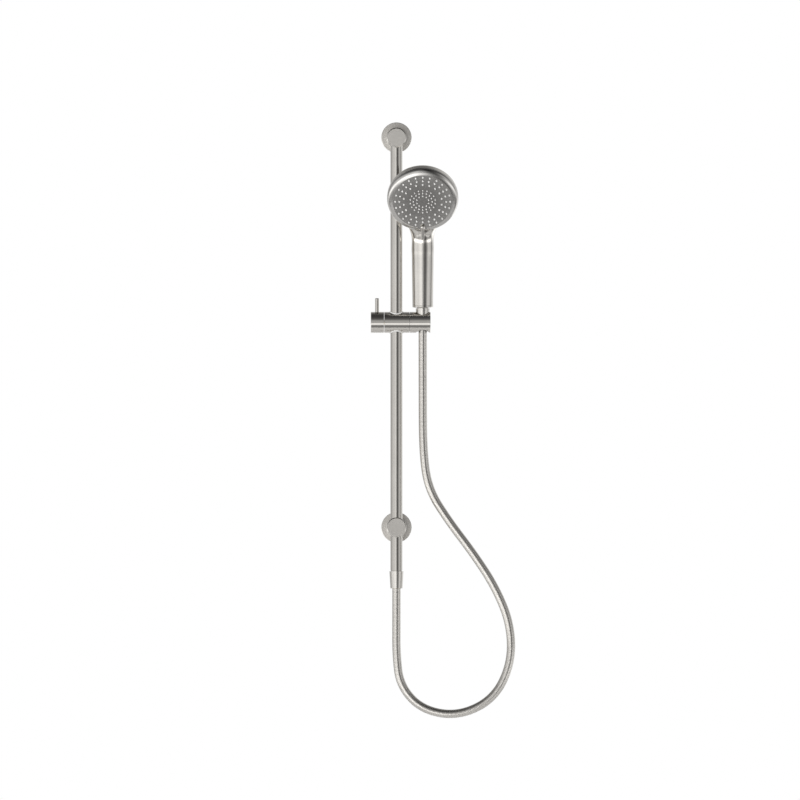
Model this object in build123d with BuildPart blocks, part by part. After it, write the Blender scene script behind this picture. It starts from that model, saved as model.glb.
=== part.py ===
"""Hand shower on a slide rail: wall brackets, water-carrying rail, locking slider, handset and hose.

Millimetres. +X to the right as seen from the room, +Y into the wall, +Z up.
The origin is on the wall plane at the centre of the lower bracket.
"""
from build123d import *
import os
from math import cos, pi, radians, sin, tan

os.makedirs("parts", exist_ok=True)

# ---------------------------------------------------------------- overall sizes
BRACKET_PITCH = 650.0  # lower to upper bracket
STANDOFF = 48.0  # wall to rail axis
RAIL_DIA = 20.0
RAIL_WALL = 1.5
RAIL_TAIL = 72.0  # rail below the lower bracket's centre
RAIL_HEAD = 8.5  # rail above the upper bracket's centre
SLIDER_Z = 341.8  # slider axis at rest
SEAT_X = 43.8  # handset seat beside the rail

# ---------------------------------------------------------------- fits
RUNNING = 0.05  # radial, turning and sliding fits
SEAL_GAP = 0.02  # radial, beside a seated seal
SPLIT = 0.5  # joint line between turning pieces

# ---------------------------------------------------------------- brackets
ROSE_DIA = 50.5
ROSE_DEPTH = 6.5
ROSE_WALL = 1.5
ROSE_GAP = 0.1
BOSS_DIA = 33.0
BOSS_BACK = 4.0  # wall to the back of a boss
BOSS_COVER = 2.0  # boss metal in front of the rail bore
CAP_THICK = 2.2
CAP_CHAMFER = 1.5
THREAD_R = 20.955 / 2  # G1/2 major radius
INLET_DEPTH = 13.0
VALVE_R = 8.0
VALVE_LENGTH = 12.0
WATERWAY_R = 4.5
SEAL_R = 1.3  # section radius of the O-rings
RAIL_SEAL_R = 0.75
SEAL_SPREAD = 9.5  # rail seals above and below the water port
GRUB_R = 2.5
HEX_KEY = 2.5
PLATE_R = 21.0
PLATE_THICK = 3.5
PLATE_SCREW_R = 2.75
PLATE_SCREW_PITCH = 30.0
STUD_R = 10.0
STUD_REACH = 14.0
PLUG_Z = 22.0
PLUG_LENGTH = 12.0

# ---------------------------------------------------------------- hose and its nuts
HOSE_R = 7.0
HOSE_BORE_R = 4.0
NUT_LENGTH = 28.5
NUT_BIG_R = 11.7
NUT_SMALL_R = 10.1
NUT_THREAD = 7.0
NUT_GAP = 1.2  # groove between a nut and what it screws up to
WASHER_THICK = 2.0
FLANGE_THICK = 3.0
FLANGE_R = 9.0
FERRULE_R = 7.2

# ---------------------------------------------------------------- slider
SLIDER_DIA = 35.0
SLIDER_LEFT = 20.25
SLIDER_RIGHT = 21.75
BUSH_R = 11.6
BUSH_LENGTH = 9.0
BUSH_PROUD = 0.7
PAD_SIDE = 11.0
PAD_BACK = 6.0  # length of the brake pad
PAD_WALL = 3.25
KNOB_LENGTH = 22.0
KNOB_POCKET_R = 13.5
KNOB_POCKET = 6.5
KNOB_CAP_THICK = 2.3
SPINDLE_R = 4.0
SPINDLE_HEAD_R = 7.0
SPINDLE_HEAD = 3.5
CLIP_THICK = 0.5
LEVER_R = 3.25
LEVER_X = 32.4
LEVER_FOOT = 8.0
LEVER_REACH = 40.4
HOLDER_END = 56.8
HOLDER_LINER_R = 12.2
PIVOT_R = 8.0
PIVOT_LENGTH = 3.75
PIVOT_BOLT_R = 2.5
PIVOT_HEAD_R = 4.6
PIVOT_HEAD = 2.6
SPRING_THICK = 0.6
HOSE_SLOT = 15.5
LINER_SET_BACK = 1.2

# ---------------------------------------------------------------- handset
HANDLE_FOOT = 366.5
SHELL_WALL = 2.6
FOOT_WALL = 3.0
FOOT_ROUND = 1.4
COVER_THICK = 1.6
COVER_GAP = 0.45
FACE_REACH = 58.0  # face centre in front of the handle axis
FACE_Z = 543.3
FACE_TILT = 29.3
HEAD_R = 59.3
HEAD_DEPTH = 28.0
FLAT_R = 50.0
BEZEL_DEPTH = 8.8
PLATE_SKIN = 2.2
SKIRT_DEPTH = 10.2
NECK_DEPTH = 20.0  # neck axis behind the face
PORT_DEPTH = 16.6  # water port axis behind the face
TUBE_R = 5.5
TUBE_BORE_R = 4.0
TUBE_BEND = 40.0
SOCKET_DEPTH = 8.0
SPIGOT_COLLAR_R = 9.2
LEVER_WIDTH = 5.3
SELECTOR_TIP = 72.8

# ---------------------------------------------------------------- derived places
RAIL_R = RAIL_DIA / 2
RAIL_BORE_R = RAIL_R - RAIL_WALL
RAIL_Y = -STANDOFF
BOSS_R = BOSS_DIA / 2
BOSS_FRONT = STANDOFF + RAIL_R + BOSS_COVER
SLIDER_R = SLIDER_DIA / 2
BRACKETS = {"lower": 0.0, "upper": BRACKET_PITCH}
NUT_TAPER = (NUT_BIG_R - NUT_SMALL_R) / NUT_LENGTH
LOWER_NUT_TOP = -RAIL_TAIL - NUT_GAP
UPPER_NUT_TOP = HANDLE_FOOT - NUT_GAP
UPPER_NUT_FOOT = UPPER_NUT_TOP - NUT_LENGTH


def wall_plane(z, reach=0.0):
    """Plane facing the room at a height and a distance from the wall."""
    return Plane(origin=(0, -reach, z), x_dir=(1, 0, 0), z_dir=(0, -1, 0))


def along_x(x, y=RAIL_Y, z=SLIDER_Z):
    """Plane facing +X, with its own X axis up."""
    return Plane(origin=(x, y, z), x_dir=(0, 0, 1), z_dir=(1, 0, 0))


def level(z, x=0.0, y=RAIL_Y):
    """Level plane at a height, centred beside or on the rail."""
    return Plane(origin=(x, y, z), x_dir=(1, 0, 0), z_dir=(0, 0, 1))


def o_ring(plane, seat_r, section_r=SEAL_R):
    """Seal of round section lying on a shaft of radius seat_r."""
    with BuildPart() as ring:
        with BuildSketch(Plane(origin=plane.origin, x_dir=plane.x_dir, z_dir=-plane.y_dir)):
            with Locations((seat_r + SEAL_GAP + section_r, 0)):
                Circle(section_r)
        revolve(axis=Axis(plane.origin, plane.z_dir))
    return ring.part


# ---------------------------------------------------------------- rail
with BuildPart() as rail_tube:
    with BuildSketch(level(-RAIL_TAIL)):
        Circle(RAIL_R)
        Circle(RAIL_BORE_R, mode=Mode.SUBTRACT)
    extrude(amount=RAIL_TAIL + BRACKET_PITCH + RAIL_HEAD)
    with BuildSketch(wall_plane(0, STANDOFF - RAIL_R - 1)):
        Circle(WATERWAY_R)
    extrude(amount=RAIL_R, mode=Mode.SUBTRACT)
rail_tube.part.label = "rail_tube"
export_step(rail_tube.part, "parts/rail_tube.step")

with BuildPart() as rail_plug:
    with BuildSketch(level(PLUG_Z)):
        Circle(RAIL_BORE_R - RUNNING)
    extrude(amount=PLUG_LENGTH)
    with BuildSketch(level(PLUG_Z + PLUG_LENGTH / 2 - SEAL_R)):
        Circle(RAIL_BORE_R)
        Circle(RAIL_BORE_R - 2 * SEAL_R - SEAL_GAP, mode=Mode.SUBTRACT)
    extrude(amount=2 * SEAL_R, mode=Mode.SUBTRACT)
rail_plug.part.label = "rail_plug"
export_step(rail_plug.part, "parts/rail_plug.step")

plug_seal = o_ring(level(PLUG_Z + PLUG_LENGTH / 2), RAIL_BORE_R - 2 * SEAL_R - 2 * SEAL_GAP)
plug_seal.label = "plug_seal"
export_step(plug_seal, "parts/plug_seal.step")

SPIGOT_TOP = -RAIL_TAIL + 16.0
SPIGOT_SEAL_Z = -RAIL_TAIL + 8.0
with BuildPart() as outlet_spigot:
    with BuildSketch(level(-RAIL_TAIL)):
        Circle(RAIL_BORE_R - RUNNING)
    extrude(amount=SPIGOT_TOP + RAIL_TAIL)
    with BuildSketch(level(SPIGOT_SEAL_Z - SEAL_R)):
        Circle(RAIL_BORE_R)
        Circle(RAIL_BORE_R - 2 * SEAL_R - SEAL_GAP, mode=Mode.SUBTRACT)
    extrude(amount=2 * SEAL_R, mode=Mode.SUBTRACT)
    with BuildSketch(level(LOWER_NUT_TOP)):
        Circle(SPIGOT_COLLAR_R)
    extrude(amount=NUT_GAP)
    with BuildSketch(level(LOWER_NUT_TOP - NUT_THREAD)):
        Circle(THREAD_R)
    extrude(amount=NUT_THREAD)
    with BuildSketch(level(LOWER_NUT_TOP - NUT_THREAD)):
        Circle(WATERWAY_R)
    extrude(amount=SPIGOT_TOP - LOWER_NUT_TOP + NUT_THREAD, mode=Mode.SUBTRACT)
outlet_spigot.part.label = "outlet_spigot"
export_step(outlet_spigot.part, "parts/outlet_spigot.step")

spigot_seal = o_ring(level(SPIGOT_SEAL_Z), RAIL_BORE_R - 2 * SEAL_R - 2 * SEAL_GAP)
spigot_seal.label = "spigot_seal"
export_step(spigot_seal, "parts/spigot_seal.step")


# ---------------------------------------------------------------- wall brackets
def wall_rose(z):
    """Shallow cup that slides on the boss and covers the wall fixing."""
    with BuildPart() as rose:
        with BuildSketch(wall_plane(z)):
            Circle(ROSE_DIA / 2)
        extrude(amount=ROSE_DEPTH)
        fillet(rose.faces().sort_by(Axis.Y)[0].edges(), radius=0.8)
        with BuildSketch(wall_plane(z)):
            Circle(ROSE_DIA / 2 - ROSE_WALL)
        extrude(amount=ROSE_DEPTH - ROSE_WALL, mode=Mode.SUBTRACT)
        with BuildSketch(wall_plane(z)):
            Circle(BOSS_R + ROSE_GAP)
        extrude(amount=ROSE_DEPTH, mode=Mode.SUBTRACT)
    return rose.part


def front_cap(z):
    """Bevelled disc bonded to the front of the boss."""
    with BuildPart() as cap:
        with BuildSketch(wall_plane(z, BOSS_FRONT)):
            Circle(BOSS_R)
        extrude(amount=CAP_THICK)
        chamfer(cap.faces().sort_by(Axis.Y)[0].edges(), length=CAP_CHAMFER)
    return cap.part


def boss(z, rail_from, rail_to, grub_z):
    """Round boss with the rail's cross bore and a grub screw's hole at the side."""
    with BuildPart() as body:
        with BuildSketch(wall_plane(z, BOSS_BACK)):
            Circle(BOSS_R)
        extrude(amount=BOSS_FRONT - BOSS_BACK)
        with BuildSketch(level(rail_from)):
            Circle(RAIL_R + RUNNING)
        extrude(amount=rail_to - rail_from, mode=Mode.SUBTRACT)
        with BuildSketch(along_x(0, z=grub_z)):
            Circle(GRUB_R + RUNNING)
        extrude(amount=BOSS_R, mode=Mode.SUBTRACT)
    return body.part


def grub_screw(z):
    """Socket screw that bears on the rail from the side."""
    with BuildPart() as screw:
        with BuildSketch(along_x(RAIL_R + SEAL_GAP, z=z)):
            Circle(GRUB_R)
        extrude(amount=BOSS_R - RAIL_R - 1.0)
        with BuildSketch(along_x(BOSS_R - 1.0 - GRUB_R, z=z)):
            RegularPolygon(HEX_KEY / 2, 6, major_radius=False)
        extrude(amount=GRUB_R + 1.0, mode=Mode.SUBTRACT)
    return screw.part


for name, z in BRACKETS.items():
    rose = wall_rose(z)
    rose.label = f"{name}_rose"
    export_step(rose, f"parts/{rose.label}.step")
    cap = front_cap(z)
    cap.label = f"{name}_front_cap"
    export_step(cap, f"parts/{cap.label}.step")
    grub = grub_screw(z)
    grub.label = f"{name}_grub_screw"
    export_step(grub, f"parts/{grub.label}.step")

with BuildPart() as upper_bracket:
    add(boss(BRACKET_PITCH, BRACKET_PITCH - BOSS_R - 1, BRACKET_PITCH + RAIL_HEAD + 0.5, BRACKET_PITCH))
    with BuildSketch(wall_plane(BRACKET_PITCH, BOSS_BACK)):
        Circle(STUD_R + RUNNING)
    extrude(amount=STUD_REACH + 0.5, mode=Mode.SUBTRACT)
    with BuildSketch(level(BRACKET_PITCH - BOSS_R, y=-BOSS_BACK - STUD_REACH / 2)):
        Circle(GRUB_R + RUNNING)
    extrude(amount=BOSS_R, mode=Mode.SUBTRACT)
upper_bracket.part.label = "upper_bracket"
export_step(upper_bracket.part, "parts/upper_bracket.step")

with BuildPart() as wall_plate:
    with BuildSketch(wall_plane(BRACKET_PITCH)):
        Circle(PLATE_R)
    extrude(amount=PLATE_THICK)
    with BuildSketch(wall_plane(BRACKET_PITCH, PLATE_THICK)):
        Circle(STUD_R)
    extrude(amount=BOSS_BACK - PLATE_THICK + STUD_REACH)
    with BuildSketch(wall_plane(BRACKET_PITCH)):
        with Locations((-PLATE_SCREW_PITCH / 2, 0), (PLATE_SCREW_PITCH / 2, 0)):
            Circle(PLATE_SCREW_R)
    extrude(amount=PLATE_THICK, mode=Mode.SUBTRACT)
wall_plate.part.label = "wall_plate"
export_step(wall_plate.part, "parts/wall_plate.step")

with BuildPart() as stud_screw:
    with BuildSketch(level(BRACKET_PITCH - BOSS_R + 1.0, y=-BOSS_BACK - STUD_REACH / 2)):
        Circle(GRUB_R)
    extrude(amount=BOSS_R - 1.0 - STUD_R - SEAL_GAP)
    with BuildSketch(level(BRACKET_PITCH - BOSS_R + 1.0, y=-BOSS_BACK - STUD_REACH / 2)):
        RegularPolygon(HEX_KEY / 2, 6, major_radius=False)
    extrude(amount=GRUB_R, mode=Mode.SUBTRACT)
stud_screw.part.label = "stud_screw"
export_step(stud_screw.part, "parts/stud_screw.step")

with BuildPart() as lower_bracket:
    add(boss(0, -BOSS_R - 1, BOSS_R + 1, 0))
    with BuildSketch(wall_plane(0, BOSS_BACK)):
        Circle(THREAD_R)
    extrude(amount=INLET_DEPTH, mode=Mode.SUBTRACT)
    with BuildSketch(wall_plane(0, BOSS_BACK)):
        Circle(VALVE_R + RUNNING)
    extrude(amount=INLET_DEPTH + VALVE_LENGTH, mode=Mode.SUBTRACT)
    with BuildSketch(wall_plane(0, BOSS_BACK)):
        Circle(WATERWAY_R)
    extrude(amount=STANDOFF - BOSS_BACK, mode=Mode.SUBTRACT)
    for seal_z in (-SEAL_SPREAD, SEAL_SPREAD):
        with BuildSketch(level(seal_z - RAIL_SEAL_R - SEAL_GAP)):
            Circle(RAIL_R + 2 * RAIL_SEAL_R + 2 * SEAL_GAP)
        extrude(amount=2 * (RAIL_SEAL_R + SEAL_GAP), mode=Mode.SUBTRACT)
lower_bracket.part.label = "lower_bracket"
export_step(lower_bracket.part, "parts/lower_bracket.step")

rail_seals = Compound([o_ring(level(z), RAIL_R, RAIL_SEAL_R) for z in (-SEAL_SPREAD, SEAL_SPREAD)])
rail_seals.label = "rail_seals"
export_step(rail_seals, "parts/rail_seals.step")

VALVE_BACK = BOSS_BACK + INLET_DEPTH
with BuildPart() as check_valve:
    with BuildSketch(wall_plane(0, VALVE_BACK)):
        Circle(VALVE_R)
        Circle(WATERWAY_R, mode=Mode.SUBTRACT)
    extrude(amount=VALVE_LENGTH - SEAL_GAP)
    with BuildSketch(wall_plane(0, VALVE_BACK + VALVE_LENGTH / 2)):
        Rectangle(2 * WATERWAY_R + 1, 1.2)
        Rectangle(1.2, 2 * WATERWAY_R + 1)
        Circle(WATERWAY_R / 2)
    extrude(amount=VALVE_LENGTH / 4)
check_valve.part.label = "check_valve"
export_step(check_valve.part, "parts/check_valve.step")


# ---------------------------------------------------------------- hose ends
def turned(points, z, up, x=0.0):
    """Turned piece from (radius, distance from its open end) points; up is +1 where it opens upward."""
    outline = [(r, -up * d) for r, d in points]
    with BuildPart() as piece:
        with BuildSketch(Plane(origin=(x, RAIL_Y, z), x_dir=(1, 0, 0), z_dir=(0, -1, 0))):
            with BuildLine():
                Polyline(outline, close=True)
            make_face()
        revolve(axis=Axis((x, RAIL_Y, z), (0, 0, 1)))
    return piece.part


WASHER_TOP = NUT_THREAD
FLANGE_TOP = WASHER_TOP + WASHER_THICK
FERRULE_TOP = FLANGE_TOP + FLANGE_THICK
NUT_OUTLINE = [
    (NUT_BIG_R, 0),
    (NUT_SMALL_R, NUT_LENGTH),
    (FERRULE_R + RUNNING, NUT_LENGTH),
    (FERRULE_R + RUNNING, FERRULE_TOP),
    (FLANGE_R + RUNNING, FERRULE_TOP),
    (FLANGE_R + RUNNING, FLANGE_TOP),
    (THREAD_R + RUNNING, FLANGE_TOP),
    (THREAD_R + RUNNING, 0),
]
FERRULE_OUTLINE = [
    (HOSE_BORE_R, FLANGE_TOP),
    (FLANGE_R, FLANGE_TOP),
    (FLANGE_R, FERRULE_TOP),
    (FERRULE_R, FERRULE_TOP),
    (FERRULE_R, NUT_LENGTH),
    (HOSE_BORE_R, NUT_LENGTH),
]
WASHER_OUTLINE = [
    (WATERWAY_R, WASHER_TOP),
    (THREAD_R, WASHER_TOP),
    (THREAD_R, FLANGE_TOP),
    (WATERWAY_R, FLANGE_TOP),
]

for name, z, x in (("lower", LOWER_NUT_TOP, 0.0), ("upper", UPPER_NUT_TOP, SEAT_X)):
    nut = turned(NUT_OUTLINE, z, 1, x)
    nut.label = f"{name}_hose_nut"
    export_step(nut, f"parts/{nut.label}.step")
    ferrule = turned(FERRULE_OUTLINE, z, 1, x)
    ferrule.label = f"{name}_hose_ferrule"
    export_step(ferrule, f"parts/{ferrule.label}.step")
    washer = turned(WASHER_OUTLINE, z, 1, x)
    washer.label = f"{name}_hose_washer"
    export_step(washer, f"parts/{washer.label}.step")

# ---------------------------------------------------------------- hose
# The route hangs from the upper nut, swings out to the side and returns up into the lower nut.
HOSE_ROUTE = [
    (SEAT_X, UPPER_NUT_FOOT),
    (SEAT_X, 230.0),
    (44.4, 122.0),
    (54.0, 62.0),
    (88.0, 9.0),
    (127.0, -42.0),
    (164.0, -98.0),
    (190.0, -160.0),
    (192.0, -226.0),
    (163.0, -286.0),
    (103.0, -315.0),
    (42.0, -304.0),
    (6.0, -264.0),
    (-0.2, -213.0),
    (0.0, -157.0),
    (0.0, LOWER_NUT_TOP - NUT_LENGTH),
]


def corner_radii(points):
    """The largest arc that each corner's two runs leave room for."""
    radii = []
    for before, corner, after in zip(points, points[1:], points[2:]):
        run_in, run_out = corner - before, after - corner
        turn = radians(run_in.get_angle(run_out))
        radii.append(0.45 * min(run_in.length, run_out.length) / tan(turn / 2))
    return radii


route = [Vector(x, RAIL_Y, z) for x, z in HOSE_ROUTE]
hose_radii = corner_radii(route)
print("hose radii", [round(r) for r in hose_radii])
with BuildPart() as hose_tube:
    with BuildLine() as hose_line:
        FilletPolyline(*route, radius=hose_radii)
    with BuildSketch(level(UPPER_NUT_FOOT, SEAT_X)):
        Circle(HOSE_R)
    sweep(path=hose_line.wires()[0])
hose_length = hose_line.wires()[0].length
hose_ideal = pi * HOSE_R**2 * hose_length
print("hose length", round(hose_length, 1), "volume share", round(hose_tube.part.volume / hose_ideal, 5))
hose_tube.part.label = "hose_tube"
export_step(hose_tube.part, "parts/hose_tube.step")

# ---------------------------------------------------------------- slider body
PAD_LEFT = RAIL_R + SEAL_GAP + PAD_BACK
PAD_BORE_END = SLIDER_LEFT - PAD_WALL
with BuildPart() as slider_body:
    with BuildSketch(along_x(-SLIDER_LEFT)):
        Circle(SLIDER_R)
    extrude(amount=SLIDER_LEFT + SLIDER_RIGHT)
    with BuildSketch(level(SLIDER_Z - SLIDER_R)):
        Circle(BUSH_R)
    extrude(amount=SLIDER_DIA, mode=Mode.SUBTRACT)
    with BuildSketch(along_x(-PAD_BORE_END)):
        Rectangle(PAD_SIDE + 2 * RUNNING, PAD_SIDE + 2 * RUNNING)
    extrude(amount=PAD_BORE_END, mode=Mode.SUBTRACT)
    with BuildSketch(along_x(-SLIDER_LEFT)):
        Circle(SPINDLE_R + RUNNING)
    extrude(amount=PAD_WALL, mode=Mode.SUBTRACT)
    with BuildSketch(along_x(SLIDER_RIGHT - PIVOT_LENGTH)):
        Circle(PIVOT_R + RUNNING)
    extrude(amount=PIVOT_LENGTH, mode=Mode.SUBTRACT)
    with BuildSketch(along_x(RAIL_R)):
        Circle(PIVOT_BOLT_R)
    extrude(amount=SLIDER_RIGHT - RAIL_R, mode=Mode.SUBTRACT)
slider_body.part.label = "slider_body"
export_step(slider_body.part, "parts/slider_body.step")


def rail_bush(way):
    """Guide bush whose outer end follows the round of the slider, a little proud of it."""
    with BuildPart() as bush:
        with BuildSketch(level(SLIDER_Z + way * (SLIDER_R - BUSH_LENGTH))):
            Circle(BUSH_R)
            Circle(RAIL_R + RUNNING, mode=Mode.SUBTRACT)
        extrude(amount=way * (BUSH_LENGTH + BUSH_PROUD))
        with BuildSketch(along_x(-SLIDER_R)):
            Circle(SLIDER_R + BUSH_PROUD)
        extrude(amount=SLIDER_DIA, mode=Mode.INTERSECT)
    return bush.part


for name, way in (("lower", -1), ("upper", 1)):
    bush = rail_bush(way)
    bush.label = f"{name}_rail_bush"
    export_step(bush, f"parts/{bush.label}.step")

with BuildPart() as friction_washer:
    with BuildSketch(along_x(SLIDER_RIGHT)):
        Circle(SLIDER_R - 2.5)
        Circle(PIVOT_R + 0.2, mode=Mode.SUBTRACT)
    extrude(amount=SPLIT - SEAL_GAP)
friction_washer.part.label = "friction_washer"
export_step(friction_washer.part, "parts/friction_washer.step")

# ---------------------------------------------------------------- rail lock
KNOB_RIGHT = SLIDER_LEFT + SPLIT
KNOB_LEFT = KNOB_RIGHT + KNOB_LENGTH
POCKET_FLOOR = KNOB_LEFT - KNOB_POCKET
with BuildPart() as lock_knob:
    with BuildSketch(along_x(-KNOB_LEFT)):
        Circle(SLIDER_R)
    extrude(amount=KNOB_LENGTH)
    chamfer(lock_knob.faces().sort_by(Axis.X)[0].edges(), length=0.5)
    with BuildSketch(along_x(-KNOB_LEFT)):
        Circle(KNOB_POCKET_R)
    extrude(amount=KNOB_POCKET, mode=Mode.SUBTRACT)
    with BuildSketch(along_x(-POCKET_FLOOR)):
        Circle(SPINDLE_R + RUNNING)
    extrude(amount=POCKET_FLOOR - KNOB_RIGHT, mode=Mode.SUBTRACT)
    with BuildSketch(level(SLIDER_Z + LEVER_FOOT, -LEVER_X)):
        Circle(LEVER_R + RUNNING)
    extrude(amount=SLIDER_R, mode=Mode.SUBTRACT)
lock_knob.part.label = "lock_knob"
export_step(lock_knob.part, "parts/lock_knob.step")

with BuildPart() as lock_cap:
    with BuildSketch(along_x(-KNOB_LEFT + 0.2)):
        Circle(KNOB_POCKET_R - RUNNING)
    extrude(amount=KNOB_CAP_THICK)
    chamfer(lock_cap.faces().sort_by(Axis.X)[0].edges(), length=0.4)
lock_cap.part.label = "lock_cap"
export_step(lock_cap.part, "parts/lock_cap.step")

with BuildPart() as lock_lever:
    with BuildSketch(level(SLIDER_Z + LEVER_FOOT, -LEVER_X)):
        Circle(LEVER_R)
    extrude(amount=LEVER_REACH - LEVER_FOOT)
    fillet(lock_lever.faces().sort_by(Axis.Z)[-1].edges(), radius=1.3)
lock_lever.part.label = "lock_lever"
export_step(lock_lever.part, "parts/lock_lever.step")

PAD_HOLE_END = RAIL_R + 2.4
SPINDLE_END = PAD_HOLE_END + 0.7
CLIP_GROOVE_R = SPINDLE_R - 0.5
with BuildPart() as clamp_spindle:
    with BuildSketch(along_x(-POCKET_FLOOR - SPINDLE_HEAD)):
        Circle(SPINDLE_HEAD_R)
    extrude(amount=SPINDLE_HEAD)
    with BuildSketch(along_x(-POCKET_FLOOR - SPINDLE_HEAD)):
        Circle(SPINDLE_R)
    extrude(amount=POCKET_FLOOR + SPINDLE_HEAD - SPINDLE_END)
    with BuildSketch(along_x(-PAD_BORE_END)):
        Circle(SPINDLE_R)
        Circle(CLIP_GROOVE_R, mode=Mode.SUBTRACT)
    extrude(amount=CLIP_THICK + 2 * SEAL_GAP, mode=Mode.SUBTRACT)
    with BuildSketch(along_x(-POCKET_FLOOR - SPINDLE_HEAD)):
        RegularPolygon(HEX_KEY, 6, major_radius=False)
    extrude(amount=SPINDLE_HEAD, mode=Mode.SUBTRACT)
clamp_spindle.part.label = "clamp_spindle"
export_step(clamp_spindle.part, "parts/clamp_spindle.step")

with BuildPart() as spindle_clip:
    with BuildSketch(along_x(-PAD_BORE_END + SEAL_GAP)):
        Circle(PAD_SIDE / 2 - 0.2)
        Circle(CLIP_GROOVE_R + SEAL_GAP, mode=Mode.SUBTRACT)
    extrude(amount=CLIP_THICK)
spindle_clip.part.label = "spindle_clip"
export_step(spindle_clip.part, "parts/spindle_clip.step")

with BuildPart() as clamp_pad:
    with BuildSketch(along_x(-PAD_LEFT)):
        Rectangle(PAD_SIDE, PAD_SIDE)
    extrude(amount=PAD_BACK + 2.0)
    with BuildSketch(level(SLIDER_Z - PAD_SIDE)):
        Circle(RAIL_R + SEAL_GAP)
    extrude(amount=2 * PAD_SIDE, mode=Mode.SUBTRACT)
    with BuildSketch(along_x(-PAD_LEFT)):
        Circle(SPINDLE_R + RUNNING)
    extrude(amount=PAD_LEFT - PAD_HOLE_END, mode=Mode.SUBTRACT)
clamp_pad.part.label = "clamp_pad"
export_step(clamp_pad.part, "parts/clamp_pad.step")

# ---------------------------------------------------------------- handset holder
HOLDER_LEFT = SLIDER_RIGHT + SPLIT
SEAT_LEFT = SEAT_X - HOLDER_LINER_R
BOLT_HEAD_FLOOR = SEAT_LEFT - PIVOT_HEAD - SPRING_THICK - 0.4
with BuildPart() as holder_body:
    with BuildSketch(along_x(HOLDER_LEFT)):
        Circle(SLIDER_R)
    extrude(amount=HOLDER_END - HOLDER_LEFT)
    chamfer(holder_body.faces().sort_by(Axis.X)[-1].edges(), length=0.4)
    with BuildSketch(along_x(HOLDER_LEFT - PIVOT_LENGTH)):
        Circle(PIVOT_R)
    extrude(amount=PIVOT_LENGTH)
    with BuildSketch(level(SLIDER_Z - SLIDER_R, SEAT_X)):
        Circle(HOLDER_LINER_R)
    extrude(amount=SLIDER_DIA, mode=Mode.SUBTRACT)
    with BuildSketch(level(SLIDER_Z - SLIDER_R, SEAT_X, RAIL_Y + SLIDER_R / 2)):
        Rectangle(HOSE_SLOT, SLIDER_R + 2)
    extrude(amount=SLIDER_DIA, mode=Mode.SUBTRACT)
    with BuildSketch(along_x(HOLDER_LEFT - PIVOT_LENGTH)):
        Circle(PIVOT_BOLT_R + RUNNING)
    extrude(amount=SEAT_X - HOLDER_LEFT, mode=Mode.SUBTRACT)
    with BuildSketch(along_x(BOLT_HEAD_FLOOR)):
        Circle(PIVOT_HEAD_R + 2 * RUNNING)
    extrude(amount=SEAT_X - BOLT_HEAD_FLOOR, mode=Mode.SUBTRACT)
holder_body.part.label = "holder_body"
export_step(holder_body.part, "parts/holder_body.step")

SEAT_TOP_R = NUT_SMALL_R + NUT_TAPER * (SLIDER_Z + SLIDER_R - UPPER_NUT_FOOT)
with BuildPart() as holder_liner:
    with BuildSketch(level(SLIDER_Z - SLIDER_R, SEAT_X)):
        Circle(HOLDER_LINER_R)
    extrude(amount=SLIDER_DIA)
    with BuildSketch(along_x(SEAT_LEFT)):
        Circle(SLIDER_R - LINER_SET_BACK)
    extrude(amount=2 * HOLDER_LINER_R, mode=Mode.INTERSECT)
    with BuildSketch(Plane(origin=(SEAT_X, RAIL_Y, 0), x_dir=(1, 0, 0), z_dir=(0, -1, 0))):
        with BuildLine():
            Polyline(
                (0, SLIDER_Z - SLIDER_R),
                (NUT_SMALL_R + RUNNING, SLIDER_Z - SLIDER_R),
                (NUT_SMALL_R + RUNNING, UPPER_NUT_FOOT),
                (SEAT_TOP_R + RUNNING, SLIDER_Z + SLIDER_R),
                (0, SLIDER_Z + SLIDER_R),
                close=True,
            )
        make_face()
    revolve(axis=Axis((SEAT_X, RAIL_Y, 0), (0, 0, 1)), mode=Mode.SUBTRACT)
    with BuildSketch(level(SLIDER_Z - SLIDER_R, SEAT_X, RAIL_Y + SLIDER_R / 2)):
        Rectangle(HOSE_SLOT, SLIDER_R + 2)
    extrude(amount=SLIDER_DIA, mode=Mode.SUBTRACT)
holder_liner.part.label = "holder_liner"
export_step(holder_liner.part, "parts/holder_liner.step")

with BuildPart() as pivot_bolt:
    with BuildSketch(along_x(BUSH_R + 0.5)):
        Circle(PIVOT_BOLT_R - SEAL_GAP / 2)
    extrude(amount=BOLT_HEAD_FLOOR + SPRING_THICK + PIVOT_HEAD - BUSH_R - 0.5)
    with BuildSketch(along_x(BOLT_HEAD_FLOOR + SPRING_THICK)):
        Circle(PIVOT_HEAD_R)
    extrude(amount=PIVOT_HEAD)
    with BuildSketch(along_x(BOLT_HEAD_FLOOR + SPRING_THICK + PIVOT_HEAD / 2)):
        RegularPolygon(HEX_KEY / 2, 6, major_radius=False)
    extrude(amount=PIVOT_HEAD, mode=Mode.SUBTRACT)
pivot_bolt.part.label = "pivot_bolt"
export_step(pivot_bolt.part, "parts/pivot_bolt.step")

with BuildPart() as spring_washer:
    with BuildSketch(along_x(BOLT_HEAD_FLOOR + SEAL_GAP)):
        Circle(PIVOT_HEAD_R)
        Circle(PIVOT_BOLT_R + RUNNING, mode=Mode.SUBTRACT)
    extrude(amount=SPRING_THICK - SEAL_GAP)
spring_washer.part.label = "spring_washer"
export_step(spring_washer.part, "parts/spring_washer.step")

# ---------------------------------------------------------------- handset axes
TILT = radians(FACE_TILT)
FACE_CENTRE = Vector(SEAT_X, RAIL_Y - FACE_REACH, FACE_Z)
OUTWARD = Vector(0, -cos(TILT), -sin(TILT))
UPWARD = Vector(0, -sin(TILT), cos(TILT))


def face_point(across, up, out):
    """Point from the face centre: across and up in the face's plane, out along the spray."""
    return FACE_CENTRE + Vector(across, 0, 0) + UPWARD * up + OUTWARD * out


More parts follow.
